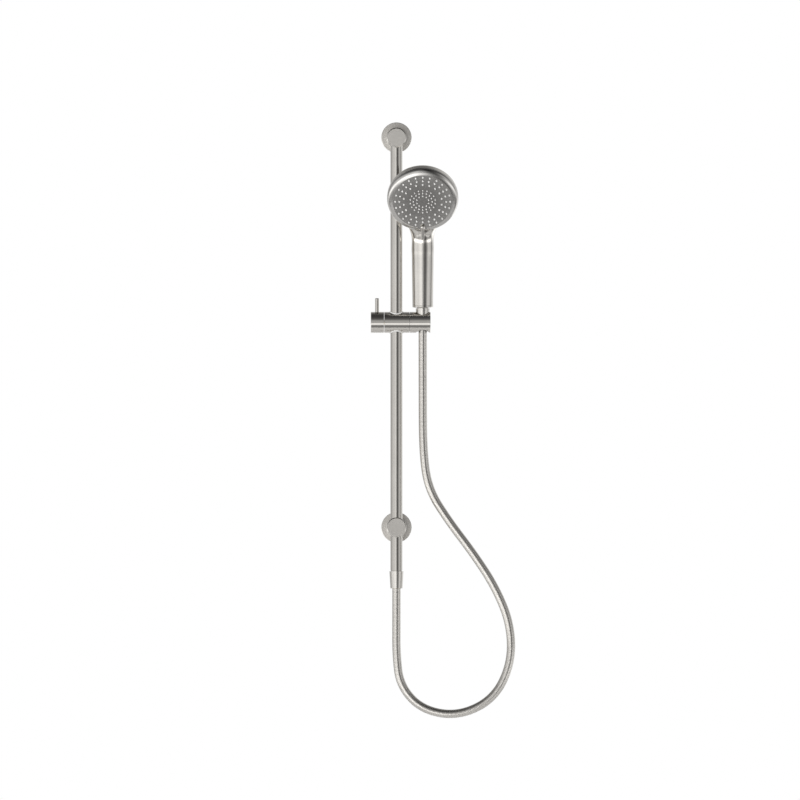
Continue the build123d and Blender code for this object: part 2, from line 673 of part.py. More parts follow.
def face_plane(out, up=0.0):
    """Plane parallel to the spray face, at a distance in front of it."""
    return Plane(origin=face_point(0, up, out), x_dir=(1, 0, 0), z_dir=OUTWARD)


SPRAY_AXIS = Axis(FACE_CENTRE, OUTWARD)
FACE_SECTION = Plane(origin=FACE_CENTRE, x_dir=(1, 0, 0), z_dir=-UPWARD)


def face_turned(points):
    """Piece turned about the spray axis from (radius, distance in front of the face) points."""
    with BuildPart() as piece:
        with BuildSketch(FACE_SECTION):
            with BuildLine():
                Polyline(points, close=True)
            make_face()
        revolve(axis=SPRAY_AXIS)
    return piece.part


def neck_plane(up, lean):
    """Section plane of the neck, square to its lean."""
    centre = face_point(0, up, -NECK_DEPTH)
    a = radians(lean)
    return Plane(origin=centre, x_dir=(1, 0, 0), z_dir=(0, -sin(a), cos(a)))


HANDLE_STRAIGHT = 103.5  # foot to the start of the neck
# Neck sections: distance up the face, lean, half width, half depth.
NECK_SECTIONS = [
    (-79.0, 10.0, 18.6, 14.9),
    (-65.0, 21.0, 22.0, 14.2),
    (-51.0, FACE_TILT, 25.2, 12.6),
    (-36.0, FACE_TILT, 24.6, 9.6),
    (-20.0, FACE_TILT, 21.0, 6.5),
]
HANDLE_STEPS = 7
FOOT_HALF_WIDTH = 17.05
FOOT_HALF_DEPTH = 15.6
NECK_HALF_WIDTH = 18.4
NECK_HALF_DEPTH = 15.0


def handle_sections():
    """Planes with half width and half depth, evenly spaced from the foot up into the head."""
    sections = []
    for step in range(HANDLE_STEPS + 1):
        share = step / HANDLE_STEPS
        plane = level(HANDLE_FOOT + share * HANDLE_STRAIGHT, SEAT_X)
        half_width = FOOT_HALF_WIDTH + share * (NECK_HALF_WIDTH - FOOT_HALF_WIDTH)
        half_depth = FOOT_HALF_DEPTH + share * (NECK_HALF_DEPTH - FOOT_HALF_DEPTH)
        sections.append((plane, half_width, half_depth))
    for up, lean, half_width, half_depth in NECK_SECTIONS:
        sections.append((neck_plane(up, lean), half_width, half_depth))
    return sections


def handle_form(inset):
    """Solid shape of handle and neck, set in all round by inset."""
    with BuildPart() as form:
        for plane, half_width, half_depth in handle_sections():
            with BuildSketch(plane):
                Ellipse(half_width - inset, half_depth - inset * half_depth / half_width)
        loft()
    return form.part


def head_form(radius, front, depth):
    """Solid of the head behind its parting line, domed at the back."""
    with BuildPart() as form:
        with BuildSketch(FACE_SECTION):
            with BuildLine():
                Line((0, front), (radius, front))
                Line((radius, front), (radius, -0.55 * depth))
                Spline(
                    (radius, -0.55 * depth),
                    (0.83 * radius, -0.9 * depth),
                    (0, -depth),
                    tangents=((0, -1), (-1, 0)),
                )
                Line((0, -depth), (0, front))
            make_face()
        revolve(axis=SPRAY_AXIS)
    return form.part


COVER_TOP = 490.0
COVER_FOOT = HANDLE_FOOT + 4.0
COVER_HALF_TOP = 14.3
COVER_HALF_FOOT = 13.2
ARCH_RISE = 12.0
ARCH_SHOULDER = 0.62  # share of the half width where the arch turns down
ARCH_DROP = 2.6  # fall of the arch at its shoulder


def cover_window(clearance):
    """Arched outline of the handle's front cover, carried through the front half of the handle."""
    half_top = COVER_HALF_TOP + clearance
    half_foot = COVER_HALF_FOOT + clearance
    top = COVER_TOP + clearance
    foot = COVER_FOOT - clearance
    with BuildPart() as window:
        with BuildSketch(Plane(origin=(SEAT_X, RAIL_Y, 0), x_dir=(1, 0, 0), z_dir=(0, -1, 0))):
            with BuildLine() as outline:
                Polyline((half_top, top - ARCH_RISE), (half_foot, foot), (-half_foot, foot), (-half_top, top - ARCH_RISE))
                Spline(
                    (-half_top, top - ARCH_RISE),
                    (-ARCH_SHOULDER * half_top, top - ARCH_DROP),
                    (0, top),
                    (ARCH_SHOULDER * half_top, top - ARCH_DROP),
                    (half_top, top - ARCH_RISE),
                    tangents=((0, 1), (0, -1)),
                )
            make_face()
        extrude(amount=2 * STANDOFF)
    return window.part


# ---------------------------------------------------------------- handset shell
FACE_CLEARANCE = 1.0
SKIRT_R = HEAD_R - SHELL_WALL - RUNNING
SKIRT_WALL = 2.4
PARTING = -BEZEL_DEPTH - 0.3
PORT_SOCKET_UP = -24.0
outer_handle = handle_form(0)
cover_bed = handle_form(COVER_THICK)
with BuildPart() as handle_hollow:
    add(handle_form(SHELL_WALL + COVER_THICK))
    with BuildSketch(level(HANDLE_FOOT, SEAT_X)):
        Circle(2 * NUT_BIG_R)
    extrude(amount=FOOT_WALL, mode=Mode.SUBTRACT)

with BuildPart() as handset_shell:
    add(outer_handle)
    add(cover_window(COVER_GAP), mode=Mode.SUBTRACT)
    add(cover_bed)
    add(head_form(HEAD_R, PARTING, HEAD_DEPTH))
    with BuildSketch(face_plane(PARTING)):
        Circle(HEAD_R + FACE_CLEARANCE)
    extrude(amount=HEAD_DEPTH, mode=Mode.SUBTRACT)
    add(handle_hollow.part, mode=Mode.SUBTRACT)
    add(head_form(HEAD_R - SHELL_WALL, PARTING, HEAD_DEPTH - SHELL_WALL), mode=Mode.SUBTRACT)
    with BuildSketch(level(HANDLE_FOOT, SEAT_X)):
        Circle(SPIGOT_COLLAR_R + RUNNING)
    extrude(amount=FOOT_WALL, mode=Mode.SUBTRACT)
    foot_rim = handset_shell.edges().group_by(Axis.Z)[0].sort_by(SortBy.LENGTH)[-1]
    fillet(foot_rim, radius=FOOT_ROUND)
print("shell solids", len(handset_shell.part.solids()), handset_shell.part.is_valid)
handset_shell.part.label = "handset_shell"
export_step(handset_shell.part, "parts/handset_shell.step")

with BuildPart() as handle_cover:
    add(outer_handle)
    add(cover_window(0), mode=Mode.INTERSECT)
    add(handle_form(COVER_THICK - SEAL_GAP), mode=Mode.SUBTRACT)
print("cover solids", len(handle_cover.part.solids()), handle_cover.part.volume)
handle_cover.part.label = "handle_cover"
export_step(handle_cover.part, "parts/handle_cover.step")

# ---------------------------------------------------------------- handset water parts
SPIGOT_FLANGE = 2.5
SPIGOT_HEAD = HANDLE_FOOT + FOOT_WALL + SPIGOT_FLANGE
with BuildPart() as inlet_spigot:
    with BuildSketch(level(UPPER_NUT_TOP - NUT_THREAD, SEAT_X)):
        Circle(THREAD_R)
    extrude(amount=NUT_THREAD)
    with BuildSketch(level(UPPER_NUT_TOP, SEAT_X)):
        Circle(SPIGOT_COLLAR_R)
    extrude(amount=NUT_GAP + FOOT_WALL)
    with BuildSketch(level(HANDLE_FOOT + FOOT_WALL, SEAT_X)):
        Circle(SPIGOT_COLLAR_R + 1.0)
    extrude(amount=SPIGOT_FLANGE)
    with BuildSketch(level(SPIGOT_HEAD, SEAT_X)):
        Circle(TUBE_R + 2.0)
        Circle(TUBE_R + RUNNING, mode=Mode.SUBTRACT)
    extrude(amount=SOCKET_DEPTH)
    with BuildSketch(level(UPPER_NUT_TOP - NUT_THREAD, SEAT_X)):
        Circle(WATERWAY_R)
    extrude(amount=SPIGOT_HEAD - UPPER_NUT_TOP + NUT_THREAD, mode=Mode.SUBTRACT)
inlet_spigot.part.label = "inlet_spigot"
export_step(inlet_spigot.part, "parts/inlet_spigot.step")

PORT_END = face_point(0, PORT_SOCKET_UP - SEAL_GAP, -PORT_DEPTH)
TUBE_CORNER = PORT_END - UPWARD * ((PORT_END.Y - RAIL_Y) / UPWARD.Y)
with BuildPart() as water_tube:
    with BuildLine() as tube_line:
        FilletPolyline((SEAT_X, RAIL_Y, SPIGOT_HEAD), TUBE_CORNER, PORT_END, radius=TUBE_BEND)
    with BuildSketch(level(SPIGOT_HEAD, SEAT_X)):
        Circle(TUBE_R)
        Circle(TUBE_BORE_R, mode=Mode.SUBTRACT)
    sweep(path=tube_line.wires()[0])
water_tube.part.label = "water_tube"
export_step(water_tube.part, "parts/water_tube.step")

# ---------------------------------------------------------------- valve body and spray face
PORT_PLANE = Plane(origin=face_point(0, PORT_SOCKET_UP - SOCKET_DEPTH, -PORT_DEPTH), z_dir=UPWARD)
SCREW_R = 2.5
VALVE_BODY_R = 22.5
VALVE_FRONT = -14.5
VALVE_REAR = -22.0
HUB_R = 11.5
HUB_REAR = VALVE_FRONT + 0.3
MAT_GAP = 0.05
MAT_THICK = 1.5
MAT_FRONT = -PLATE_SKIN - MAT_GAP
DISC_TOP = MAT_FRONT - MAT_THICK - MAT_GAP
DISC_BACK = DISC_TOP - 3.4
DETENT_UP = 18.2
BALL_R = 1.9
POST_R = 3.6
SPRING_FOOT = VALVE_REAR + 2.5
with BuildPart() as valve_body:
    with BuildSketch(face_plane(VALVE_REAR)):
        Circle(VALVE_BODY_R)
        Circle(SCREW_R + RUNNING, mode=Mode.SUBTRACT)
    extrude(amount=VALVE_FRONT - VALVE_REAR)
    with BuildSketch(PORT_PLANE):
        Circle(TUBE_R + 1.5)
    extrude(amount=SOCKET_DEPTH + 8.0)
    with BuildSketch(PORT_PLANE):
        Circle(TUBE_R + RUNNING)
    extrude(amount=SOCKET_DEPTH, mode=Mode.SUBTRACT)
    with BuildSketch(face_plane(-PORT_DEPTH - TUBE_BORE_R)):
        with Locations((0, -VALVE_BODY_R / 2)):
            Circle(TUBE_BORE_R)
    extrude(amount=HEAD_DEPTH, mode=Mode.SUBTRACT)
    with BuildSketch(face_plane(VALVE_FRONT, up=DETENT_UP)):
        Circle(POST_R)
    extrude(amount=DISC_BACK - 1.2 - VALVE_FRONT)
    with BuildSketch(face_plane(SPRING_FOOT, up=DETENT_UP)):
        Circle(BALL_R + RUNNING)
    extrude(amount=DISC_BACK - SPRING_FOOT, mode=Mode.SUBTRACT)
valve_body.part.label = "valve_body"
export_step(valve_body.part, "parts/valve_body.step")

valve_seal = o_ring(face_plane(VALVE_FRONT + SEAL_R + SEAL_GAP), HUB_R)
valve_seal.label = "valve_seal"
export_step(valve_seal, "parts/valve_seal.step")

# Rings of nozzles: radius, number, whether they belong to the fine inner spray.
NOZZLE_RINGS = [
    (45.9, 24, False),
    (39.1, 24, False),
    (32.1, 18, False),
    (21.1, 18, True),
    (15.8, 16, True),
    (10.15, 10, True),
]
BROAD_TIP_R = 1.3
FINE_TIP_R = 1.0
TIP_TAPER = 0.35
TIP_REACH = 1.3
NOZZLE_HOLE = 0.25  # hole radius beyond the nozzle's root
RECESS_FLOOR = -1.6
RECESS_LENGTH = 17.5
RECESS_WIDTH = 14.8


def nozzle_places(fine):
    """Places of one kind of nozzle, leaving out the one that the lever stands on."""
    places = []
    for radius, count, is_fine in NOZZLE_RINGS:
        for step in range(count):
            under_lever = radius == NOZZLE_RINGS[0][0] and 2 * step == count
            if is_fine == fine and not under_lever:
                angle = 2 * pi * step / count
                places.append((radius * sin(angle), radius * cos(angle)))
    return places


with BuildPart() as face_plate:
    with BuildSketch(FACE_SECTION):
        with BuildLine():
            Line((0, 0), (FLAT_R, 0))
            Spline(
                (FLAT_R, 0),
                (HEAD_R - 2.6, -0.36 * BEZEL_DEPTH),
                (HEAD_R - 0.2, -BEZEL_DEPTH),
                tangents=((1, -0.3), (0, -1)),
            )
            Polyline(
                (HEAD_R - 0.2, -BEZEL_DEPTH),
                (SKIRT_R, -BEZEL_DEPTH),
                (SKIRT_R, -SKIRT_DEPTH),
                (SKIRT_R - SKIRT_WALL, -SKIRT_DEPTH),
                (SKIRT_R - SKIRT_WALL, -BEZEL_DEPTH),
                (FLAT_R + 1.5, -PLATE_SKIN - 0.8),
                (FLAT_R - 0.5, -PLATE_SKIN),
                (0, -PLATE_SKIN),
                (0, 0),
            )
        make_face()
    revolve(axis=SPRAY_AXIS)
    with BuildSketch(face_plane(RECESS_FLOOR)):
        with Locations((0, -FLAT_R - 1.5)):
            SlotOverall(RECESS_LENGTH, RECESS_WIDTH, rotation=90)
    extrude(amount=4, mode=Mode.SUBTRACT)
    for fine, tip in ((False, BROAD_TIP_R), (True, FINE_TIP_R)):
        with BuildSketch(face_plane(-PLATE_SKIN)):
            with Locations(*nozzle_places(fine)):
                Circle(tip + TIP_TAPER + NOZZLE_HOLE)
        extrude(amount=PLATE_SKIN, mode=Mode.SUBTRACT)
face_plate.part.label = "face_plate"
export_step(face_plate.part, "parts/face_plate.step")

with BuildPart() as nozzle_mat:
    with BuildSketch(face_plane(MAT_FRONT - MAT_THICK)):
        Circle(FLAT_R - 1.0)
    extrude(amount=MAT_THICK)
    for fine, tip in ((False, BROAD_TIP_R), (True, FINE_TIP_R)):
        with Locations(face_plane((MAT_FRONT + TIP_REACH) / 2)):
            with Locations(*nozzle_places(fine)):
                Cone(tip + TIP_TAPER, tip, TIP_REACH - MAT_FRONT)
nozzle_mat.part.label = "nozzle_mat"
export_step(nozzle_mat.part, "parts/nozzle_mat.step")

distributor = face_turned(
    [
        (0, DISC_TOP),
        (FLAT_R - 1.0, DISC_TOP),
        (FLAT_R - 1.0, DISC_BACK),
        (HUB_R, DISC_BACK),
        (HUB_R, HUB_REAR),
        (SCREW_R, HUB_REAR),
        (SCREW_R, DISC_BACK),
        (0, DISC_BACK),
    ]
)
distributor.label = "distributor"
export_step(distributor, "parts/distributor.step")

SCREW_HEAD_R = 4.5
SCREW_HEAD = 2.2
centre_screw = face_turned(
    [
        (0, DISC_BACK - SEAL_GAP),
        (SCREW_R - SEAL_GAP, DISC_BACK - SEAL_GAP),
        (SCREW_R - SEAL_GAP, VALVE_REAR - SEAL_GAP),
        (SCREW_HEAD_R, VALVE_REAR - SEAL_GAP),
        (SCREW_HEAD_R, VALVE_REAR - SCREW_HEAD),
        (0, VALVE_REAR - SCREW_HEAD),
    ]
)
centre_screw.label = "centre_screw"
export_step(centre_screw, "parts/centre_screw.step")

# The lever stands in the arched recess at the foot of the face and turns it.
LEVER_ROOT = 46.5
LEVER_DEPTH = 3.8
LEVER_DOME_R = 4.2
with BuildPart() as lever_dome:
    with Locations(face_point(0, -LEVER_ROOT - LEVER_WIDTH / 2, RECESS_FLOOR + 1.0)):
        Sphere(LEVER_DOME_R)
    split(bisect_by=face_plane(RECESS_FLOOR), keep=Keep.TOP)
with BuildPart() as selector_lever:
    with BuildSketch(face_plane(RECESS_FLOOR)):
        with Locations((0, -(LEVER_ROOT + SELECTOR_TIP) / 2)):
            RectangleRounded(LEVER_WIDTH, SELECTOR_TIP - LEVER_ROOT, LEVER_WIDTH / 2 - 0.1)
    extrude(amount=LEVER_DEPTH)
    fillet(selector_lever.faces().sort_by(SPRAY_AXIS)[-1].edges(), radius=1.2)
    add(lever_dome.part)
print("lever solids", len(selector_lever.part.solids()))
selector_lever.part.label = "selector_lever"
export_step(selector_lever.part, "parts/selector_lever.step")

# A sprung ball in the valve body clicks into the distributor at each spray.
BALL_OUT = DISC_BACK - BALL_R - SEAL_GAP
with BuildPart() as detent_ball:
    with Locations(face_point(0, DETENT_UP, BALL_OUT)):
        Sphere(BALL_R)
detent_ball.part.label = "detent_ball"
export_step(detent_ball.part, "parts/detent_ball.step")

with BuildPart() as detent_spring:
    with BuildSketch(face_plane(SPRING_FOOT, up=DETENT_UP)):
        Circle(BALL_R - 0.1)
        Circle(BALL_R - 0.6, mode=Mode.SUBTRACT)
    extrude(amount=BALL_OUT - 1.6 - SPRING_FOOT)
detent_spring.part.label = "detent_spring"
export_step(detent_spring.part, "parts/detent_spring.step")
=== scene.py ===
from math import cos, pi, radians, sin

import bpy
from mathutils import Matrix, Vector


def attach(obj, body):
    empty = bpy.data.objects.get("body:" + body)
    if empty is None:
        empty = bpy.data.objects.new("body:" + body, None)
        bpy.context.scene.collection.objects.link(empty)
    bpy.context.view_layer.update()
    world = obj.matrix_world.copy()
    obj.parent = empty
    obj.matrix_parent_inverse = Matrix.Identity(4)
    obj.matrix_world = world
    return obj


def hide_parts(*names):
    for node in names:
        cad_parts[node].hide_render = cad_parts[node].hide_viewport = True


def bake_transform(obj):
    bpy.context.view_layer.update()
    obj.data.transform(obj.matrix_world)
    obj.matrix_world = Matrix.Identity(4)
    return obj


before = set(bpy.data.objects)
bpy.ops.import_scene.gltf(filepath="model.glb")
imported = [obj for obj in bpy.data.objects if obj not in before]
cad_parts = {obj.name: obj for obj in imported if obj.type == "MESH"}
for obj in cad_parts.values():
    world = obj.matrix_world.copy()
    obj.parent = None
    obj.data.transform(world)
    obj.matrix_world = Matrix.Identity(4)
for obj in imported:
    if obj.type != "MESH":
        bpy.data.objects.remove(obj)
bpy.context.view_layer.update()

bl_info = {
    "name": "Hand Shower on a Slide Rail",
    "version": (1, 0, 0),
    "blender": (4, 5, 0),
    "location": "View3D > Sidebar > Shower",
    "description": "Finishes, hose and studio for a hand shower on its slide rail",
    "category": "Object",
}

# Places on the shower, in metres in the frame that all its pieces share.
RAIL_Y = -0.048
SLIDER_Z = 0.3418
UPPER_BRACKET_Z = 0.65
FACE_CENTRE = Vector((0.0438, -0.106, 0.5433))
FACE_TILT = radians(29.3)
SPRAY_WAY = Vector((0.0, -cos(FACE_TILT), -sin(FACE_TILT)))

# The hose's route from the handset's nut down to the rail's foot, as x and z in metres.
HOSE_ROUTE = [
    (0.0438, 0.3368),
    (0.0438, 0.230),
    (0.0444, 0.122),
    (0.054, 0.062),
    (0.088, 0.009),
    (0.127, -0.042),
    (0.164, -0.098),
    (0.190, -0.160),
    (0.192, -0.226),
    (0.163, -0.286),
    (0.103, -0.315),
    (0.042, -0.304),
    (0.006, -0.264),
    (-0.0002, -0.213),
    (0.0, -0.157),
    (0.0, -0.1017),
]
# Heights on the run down from the holder where one length of hose passes to the next.
HOSE_PARTINGS = (0.250, 0.120)
# One rib of the hose: share of the pitch, and how deep the groove is there as a share of its depth.
RIB_PROFILE = ((0.0, 1.0), (0.09, 0.3), (0.18, 0.0), (0.82, 0.0), (0.91, 0.3))
# Hose points nearer than this are taken as one.
SAME_POINT = 1e-5

# Brush lines and broader bands across a metre of plate, and their changes along a metre.
LINES_ACROSS, LINES_ALONG = 2600.0, 40.0
BANDS_ACROSS, BANDS_ALONG = 520.0, 16.0
# Height of a brush line at a grain depth of 1.
GRAIN_HEIGHT = 0.000008
# Distances from the spray axis where a painted sheen on the face's plate starts and is strongest.
FACE_SHEEN_RADII = (0.022, 0.052)

FLOOR_HALF_SIDE = 1.1
FLOOR_SHIFT_BACK = 0.5
CAMERA_PLACE = (0.0059, -4.0, 0.2124)
CAMERA_REACH = 50.0
# A colour ramp holds shades up to 1, so both tables of shades are divided by this.
SHADE_SPAN = 2.0
# Backward share of a direction at which the shades behind the object have taken over.
BEHIND_WHOLE = 0.35
# Brightness of the studio round the object, by degrees to the right of the camera.
ROUND_SHADES = [
    (-180.0, 0.75),
    (-131.0, 0.42),
    (-94.0, 0.58),
    (-67.0, 0.84),
    (-48.0, 0.74),
    (-24.0, 0.92),
    (-12.0, 1.0),
    (0.0, 0.50),
    (12.0, 0.13),
    (26.0, 0.08),
    (38.0, 0.30),
    (50.0, 0.66),
    (70.0, 0.60),
    (94.0, 0.34),
    (131.0, 0.95),
    (180.0, 0.75),
]
# Share of that brightness by degrees above the horizon, in front of the object.
RISE_SHADES = [
    (-90.0, 2.0),
    (-70.0, 1.2),
    (-56.0, 0.6),
    (-45.0, 0.42),
    (-31.0, 0.65),
    (-25.0, 2.2),
    (-13.0, 2.6),
    (-6.0, 1.1),
    (0.0, 0.9),
    (9.0, 1.0),
    (18.0, 0.9),
    (28.0, 0.45),
    (40.0, 0.22),
    (60.0, 0.12),
    (90.0, 0.09),
]
# Share of that brightness by degrees above the horizon, behind the object.
BEHIND_SHADES = [
    (-90.0, 2.2),
    (-60.0, 2.4),
    (-30.0, 1.9),
    (0.0, 1.0),
    (40.0, 0.6),
    (62.0, 0.2),
    (90.0, 0.1),
]


class Wire:
    """A socket that takes part in Python arithmetic."""

    def __init__(self, board, socket):
        self.board = board
        self.socket = socket

    def maths(self, operation, first, second=None):
        sockets = {0: first} if second is None else {0: first, 1: second}
        return self.board.add("ShaderNodeMath", {"operation": operation}, sockets)

    def __add__(self, other):
        return self.maths("ADD", self, other)

    def __radd__(self, other):
        return self.maths("ADD", other, self)

    def __sub__(self, other):
        return self.maths("SUBTRACT", self, other)

    def __mul__(self, other):
        return self.maths("MULTIPLY", self, other)

    def __rmul__(self, other):
        return self.maths("MULTIPLY", other, self)

    def __truediv__(self, other):
        return self.maths("DIVIDE", self, other)

    def __pow__(self, other):
        return self.maths("POWER", self, other)


class Board:
    """The node tree of one material or world."""

    def __init__(self, tree):
        self.tree = tree
        tree.nodes.clear()

    def add(self, kind, settings=None, sockets=None, output=0):
        """New node of a type, with its settings made first and then its sockets' values or links."""
        node = self.tree.nodes.new(kind)
        for name, value in (settings or {}).items():
            if name == "stops":
                self.set_stops(node.color_ramp, value)
            else:
                setattr(node, name, value)
        for name, value in (sockets or {}).items():
            socket = node.inputs[name]
            if isinstance(value, Wire):
                self.tree.links.new(value.socket, socket)
            else:
                socket.default_value = value
        return Wire(self, node.outputs[output]) if node.outputs else node

    def set_stops(self, ramp, stops):
        first, last = ramp.elements
        first.position, last.position = stops[0][0], stops[-1][0]
        first.color = (*[stops[0][1]] * 3, 1.0)
        last.color = (*[stops[-1][1]] * 3, 1.0)
        for place, shade in stops[1:-1]:
            ramp.elements.new(place).color = (shade, shade, shade, 1.0)

    def split(self, vector):
        """The three parts of a vector, as wires."""
        parts = self.add("ShaderNodeSeparateXYZ", None, {0: vector})
        return [Wire(self, parts.socket.node.outputs[i]) for i in range(3)]

    def place(self):
        """Place on the object, in metres, in the frame all pieces share."""
        return self.add("ShaderNodeTexCoord", output="Object")

    def join(self, x, y, z):
        return self.add("ShaderNodeCombineXYZ", None, {0: x, 1: y, 2: z})

    def vector_maths(self, operation, *vectors, output=0):
        return self.add("ShaderNodeVectorMath", {"operation": operation}, dict(enumerate(vectors)), output)

    def noise(self, vector, scale, detail=2.0, roughness=0.5):
        sockets = {"Vector": vector, "Scale": scale, "Detail": detail, "Roughness": roughness}
        return self.add("ShaderNodeTexNoise", None, sockets)

    def ramp(self, factor, *stops):
        return self.add("ShaderNodeValToRGB", {"stops": stops}, {0: factor})

    def mix(self, factor, first, second):
        """Colour between two colours."""
        colours = [c if isinstance(c, Wire) else (*c, 1.0) for c in (first, second)]
        return self.add(
            "ShaderNodeMix",
            {"data_type": "RGBA"},
            {0: factor, 6: colours[0], 7: colours[1]},
            output=2,
        )

    def bump(self, height, distance, strength=1.0):
        sockets = {"Strength": strength, "Distance": distance, "Height": height}
        return self.add("ShaderNodeBump", None, sockets)

    def surface(self, **sockets):
        """Finish the material with one shader."""
        named = {name.replace("_", " "): value for name, value in sockets.items()}
        shader = self.add("ShaderNodeBsdfPrincipled", None, named)
        self.add("ShaderNodeOutputMaterial", None, {"Surface": shader})


def new_finish(name):
    """An empty material and the board that fills it."""
    material = bpy.data.materials.new(name)
    material.use_nodes = True
    return material, Board(material.node_tree)


def shaded(colour, share):
    """A colour made lighter or darker."""
    return tuple(channel * share for channel in colour)


def by_x(x, y, z):
    return x


def by_y(x, y, z):
    return y


def by_z(x, y, z):
    return z


# ---------------------------------------------------------------- metal finishes
def brushed_metal(name, colour, across, along, fineness=1.0, polish=0.24, centre=(0.0, 0.0, 0.0)):
    """Brushed nickel. across gives the coordinate that changes from one brush line to the next,
    and along the coordinate that a brush line follows."""
    material, board = new_finish(name)
    settings = bpy.context.scene.shower_finish
    place = board.vector_maths("SUBTRACT", board.place(), centre)
    x, y, z = board.split(place)
    step = across(x, y, z)
    run = along(x, y, z)
    line_place = board.join(step * (LINES_ACROSS * fineness), run * LINES_ALONG, 0.0)
    band_place = board.join(step * (BANDS_ACROSS * fineness), run * BANDS_ALONG, 3.0)
    lines = board.noise(line_place, 1.0, 3.0, 0.6)
    bands = board.noise(band_place, 1.0, 2.0, 0.5)
    grain = lines * 0.6 + bands * 0.4
    cloud = board.noise(place, 24.0, 3.0, 0.55)
    spots = board.ramp(board.noise(place, 210.0, 2.0, 0.6), (0.62, 0.0), (0.74, 1.0))
    tone = grain * 0.5 + cloud * 0.5
    contrast = board.ramp(tone, (0.3, 0.0), (0.7, 1.0))
    base = board.mix(contrast, shaded(colour, 0.92), shaded(colour, 1.06))
    rough = polish * (0.7 + grain * 0.45 + cloud * 0.15) + spots * 0.02
    board.surface(
        Base_Color=base,
        Metallic=1.0,
        Roughness=rough,
        Normal=board.bump(grain, GRAIN_HEIGHT * settings.grain_depth, 0.5),
    )
    return material


def turned_metal(name, colour, centre, polish=0.22):
    """Nickel whose grain runs in rings round a level axis that faces the room."""
    return brushed_metal(
        name,
        colour,
        across=lambda x, y, z: (x * x + z * z) ** 0.5,
        along=by_y,
        centre=centre,
        polish=polish,
    )


def spray_face_metal(name, colour):
    """Satin nickel of the spray face, turned about the spray axis, with a painted sheen that lightens it
    towards its rim.
    """
    material, board = new_finish(name)
    settings = bpy.context.scene.shower_finish
    place = board.vector_maths("SUBTRACT", board.place(), FACE_CENTRE)
    depth = board.vector_maths("DOT_PRODUCT", place, SPRAY_WAY, output="Value")
    far = board.vector_maths("LENGTH", place, output="Value")
    radius = (far * far - depth * depth) ** 0.5
    rings = board.noise(board.join(radius * 2400.0, depth * 30.0, 0.0), 1.0, 3.0, 0.6)
    cloud = board.noise(place, 30.0, 3.0, 0.5)
    streak = board.ramp(rings * 0.5 + cloud * 0.5, (0.3, 0.0), (0.7, 1.0))
    middle = board.mix(streak, shaded(colour, 0.93), shaded(colour, 1.05))
    # Painted highlight: the plate is lightened towards its rim to stand in for the light it reflects
    # there.
    rim_sheen = board.ramp(radius, (FACE_SHEEN_RADII[0], 0.0), (FACE_SHEEN_RADII[1], 1.0))
    base = board.mix(rim_sheen, middle, shaded(colour, 1.4))
    board.surface(
        Base_Color=base,
        Metallic=1.0,
        Roughness=0.2 + (rings - 0.5) * 0.08 + (cloud - 0.5) * 0.08,
        Normal=board.bump(rings, GRAIN_HEIGHT * settings.grain_depth, 0.5),
    )
    return material


def plain_metal(name, colour, polish):
    """Machined metal of the hidden pieces, with fine tool marks round the rail's direction."""
    return brushed_metal(
        name,
        colour,
        across=lambda x, y, z: z + y * 0.6 + x * 0.3,
        along=lambda x, y, z: x - y,
        fineness=0.7,
        polish=polish,
    )


# ---------------------------------------------------------------- plastics and rubbers
def moulded(name, colour, polish, speckle=0.06, depth=0.000012, grain=1400.0):
    """Moulded plastic or rubber with a fine spark-eroded grain and slight clouding."""
    material, board = new_finish(name)
    place = board.place()
    fine = board.noise(place, grain, 2.0, 0.6)
    cloud = board.noise(place, 60.0, 3.0, 0.5)
    tone = fine * 0.5 + cloud * 0.5
    base = board.mix(tone, shaded(colour, 1.0 - speckle), shaded(colour, 1.0 + speckle))
    board.surface(
        Base_Color=base,
        Roughness=polish + (cloud - 0.5) * 0.12 + (fine - 0.5) * 0.1,
        Normal=board.bump(fine, depth, 0.5),
    )
    return material


# ---------------------------------------------------------------- hose
def hose_line():
    """Points along the hose's smooth line, from the handset's nut to the rail's foot."""
    curve = bpy.data.curves.new("hose_line", "CURVE")
    curve.dimensions = "3D"
    spline = curve.splines.new("NURBS")
    spline.points.add(len(HOSE_ROUTE) - 1)
    for point, (x, z) in zip(spline.points, HOSE_ROUTE):
        point.co = (x, RAIL_Y, z, 1.0)
    spline.order_u = 3
    spline.use_endpoint_u = True
    spline.resolution_u = 24
    holder = bpy.data.objects.new("hose_line", curve)
    mesh = bpy.data.meshes.new_from_object(holder)
    points = [vertex.co.copy() for vertex in mesh.vertices]
    bpy.data.meshes.remove(mesh)
    bpy.data.objects.remove(holder)
    bpy.data.curves.remove(curve)
    return points


def cut_line(points, heights):
    """Split the line where its first run down passes each height."""
    lengths = []
    current = [points[0]]
    heights = list(heights)
    for before, after in zip(points, points[1:]):
        while heights and before.z > heights[0] >= after.z:
            share = (before.z - heights[0]) / (before.z - after.z)
            cut = before.lerp(after, share)
            current.append(cut)
            lengths.append(current)
            current = [cut.copy()]
            heights.pop(0)
        if (after - current[-1]).length > SAME_POINT:
            current.append(after)
    lengths.append(current)
    if heights:
        raise RuntimeError("the hose's first run down doesn't reach its parting heights")
    return lengths


def line_length(points):
    """Length along a line of points."""
    return sum((b - a).length for a, b in zip(points, points[1:]))


def walk(points, distances):
    """Points and directions at distances along a line."""
    found = []
    index, gone = 0, 0.0
    for distance in distances:
        while index < len(points) - 2 and gone + (points[index + 1] - points[index]).length < distance:
            gone += (points[index + 1] - points[index]).length
            index += 1
        run = points[index + 1] - points[index]
        share = min(max((distance - gone) / run.length, 0.0), 1.0)
        found.append((points[index].lerp(points[index + 1], share), run.normalized()))
    return found


